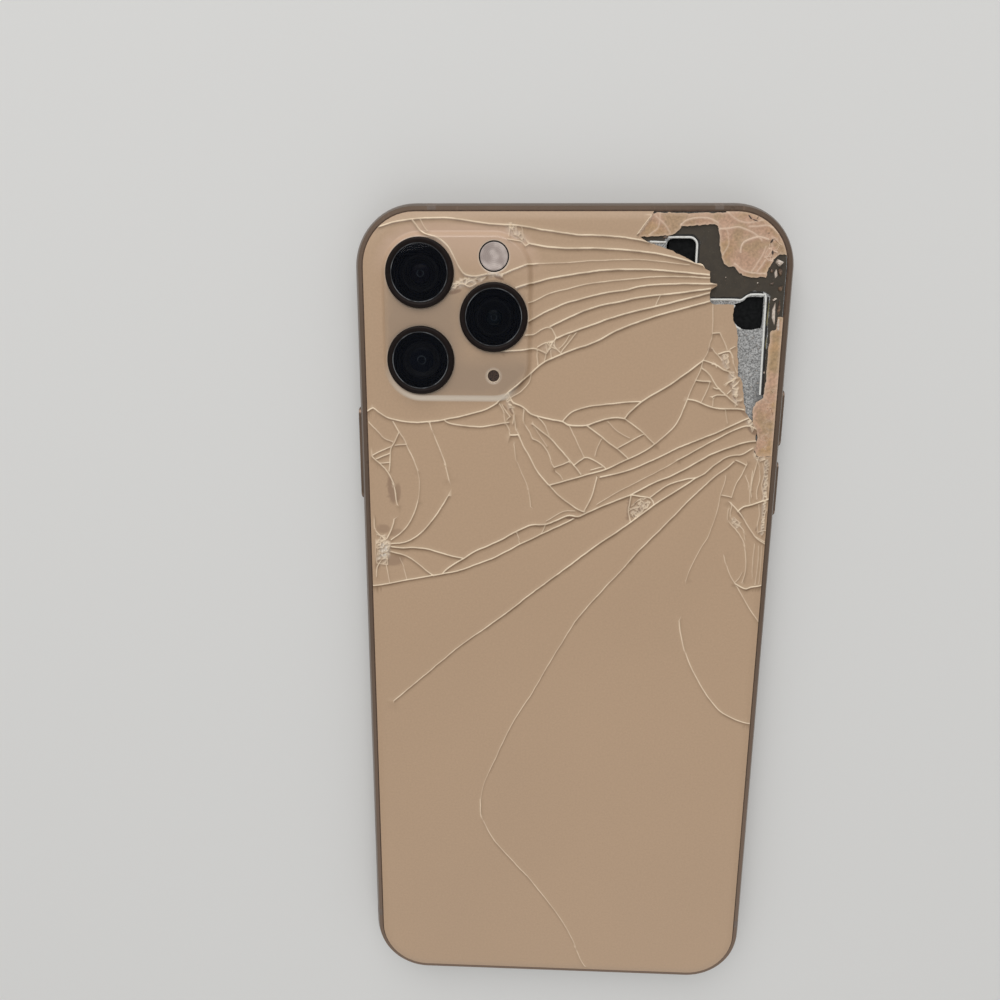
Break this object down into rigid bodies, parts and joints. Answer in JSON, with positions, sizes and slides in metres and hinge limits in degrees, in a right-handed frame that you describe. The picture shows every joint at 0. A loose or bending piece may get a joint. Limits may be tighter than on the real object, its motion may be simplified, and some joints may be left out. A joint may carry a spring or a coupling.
{
  "type": "smartphone with a shattered back glass",
  "caption": "Slab smartphone lying on its screen, its rear glass cracked all over and broken away at one corner, with working keys, mute lever and card tray.",
  "frame": {"origin": "middle of the screen glass's outer face, which is what the phone lies on", "axes": "+Z out of the back glass, +Y towards the camera end, +X to the right seen from behind (volume key side)"},
  "size_m": [0.0786, 0.158, 0.0099],
  "materials": {
    "back_glass": "satin etched glass backed with gold-tan colour, cracked all over",
    "spalled_glass": "rough flaked colour layer with chips of glass",
    "band": "polished bronze-gold steel, lightly scuffed",
    "band_plastic": "satin, tinted to match the band",
    "dark_plastic": "matte black",
    "bead": "dark brown moulded bead",
    "screen_glass": "glossy black when off",
    "panel": "dark laminated panel",
    "steel": "plain stamped sheet",
    "bare_plate": "dull plate with specks of torn film and glue",
    "film": "dark bonding film",
    "pale_trim": "off-white moulded edge",
    "ring": "dark bronze-black, glossy",
    "window": "coated sapphire, near black",
    "lens_plastic": "black lens barrel",
    "diffuser": "pale frosted flash window",
    "board": "solder-masked laminate",
    "cell": "matte wrapped cell",
    "copper": "enamelled copper winding",
    "ferrite": "grey-black sheet",
    "mesh": "fine blackened mesh",
    "tungsten": "sintered heavy metal"
  },
  "bodies": {
    "phone": {"display_glass": "screen_glass", "display_panel": "panel", "display_shield": "steel", "display_bezel": "dark_plastic", "display_seal": "dark_plastic", "frame_top": "band", "frame_left": "band", "frame_right": "band", "frame_bottom": "band", "antenna_breaks": "band_plastic", "mid_plate": "bare_plate", "bond_film": "film", "opening_trims": "pale_trim", "back_bezel": "bead", "back_glass": "back_glass", "corner_remnant": "spalled_glass", "edge_remnant": "spalled_glass", "camera_ring_wide": "ring", "camera_ring_tele": "ring", "camera_ring_ultrawide": "ring", "camera_window_wide": "window", "camera_window_tele": "window", "camera_window_ultrawide": "window", "camera_module_wide": "lens_plastic", "camera_module_tele": "lens_plastic", "camera_module_ultrawide": "lens_plastic", "lens_barrel_ultrawide": "lens_plastic", "camera_bracket": "steel", "flash_window": "diffuser", "flash_module": "board", "rear_mic_mesh": "mesh", "logic_board": "board", "board_shield": "steel", "card_reader": "steel", "battery": "cell", "charging_coil": "copper", "coil_ferrite": "ferrite", "antenna_carrier": "dark_plastic", "radio_module": "steel", "sensor_bracket": "steel", "front_camera": "lens_plastic", "infrared_camera": "lens_plastic", "dot_projector": "lens_plastic", "earpiece": "dark_plastic", "loudspeaker": "dark_plastic", "microphone_block": "dark_plastic", "hole_meshes": "mesh", "haptic_housing": "steel", "charging_socket": "dark_plastic", "bottom_screws": "band", "side_switch": "dark_plastic", "right_switches": "dark_plastic"},
    "side_key": {"side_key": "band"},
    "volume_up_key": {"volume_up_key": "band"},
    "volume_down_key": {"volume_down_key": "band"},
    "mute_lever": {"mute_lever": "band"},
    "card_tray": {"card_tray": "band"},
    "haptic_weight": {"haptic_weight": "tungsten"},
    "wide_barrel": {"lens_barrel_wide": "lens_plastic"},
    "tele_barrel": {"lens_barrel_tele": "lens_plastic"}
  },
  "joints": [
    {"name": "side_key_press", "type": "slide", "parent": "phone", "child": "side_key", "axis": [1, 0, 0], "range_m": [0, 0.0003], "stiffness_N_per_m": 2000},
    {"name": "volume_up_press", "type": "slide", "parent": "phone", "child": "volume_up_key", "axis": [-1, 0, 0], "range_m": [0, 0.0003], "stiffness_N_per_m": 2000},
    {"name": "volume_down_press", "type": "slide", "parent": "phone", "child": "volume_down_key", "axis": [-1, 0, 0], "range_m": [0, 0.0003], "stiffness_N_per_m": 2000},
    {"name": "mute_slide", "type": "slide", "parent": "phone", "child": "mute_lever", "axis": [0, 0, 1], "range_m": [0, 0.0012]},
    {"name": "card_tray_slide", "type": "slide", "parent": "phone", "child": "card_tray", "axis": [-1, 0, 0], "range_m": [0, 0.022]},
    {"name": "haptic_shake", "type": "slide", "parent": "phone", "child": "haptic_weight", "axis": [1, 0, 0], "range_m": [-0.0004, 0.0004], "stiffness_N_per_m": 2000},
    {"name": "wide_focus", "type": "slide", "parent": "phone", "child": "wide_barrel", "axis": [0, 0, 1], "range_m": [0, 0.0003], "stiffness_N_per_m": 150},
    {"name": "tele_focus", "type": "slide", "parent": "phone", "child": "tele_barrel", "axis": [0, 0, 1], "range_m": [0, 0.0003], "stiffness_N_per_m": 150}
  ]
}
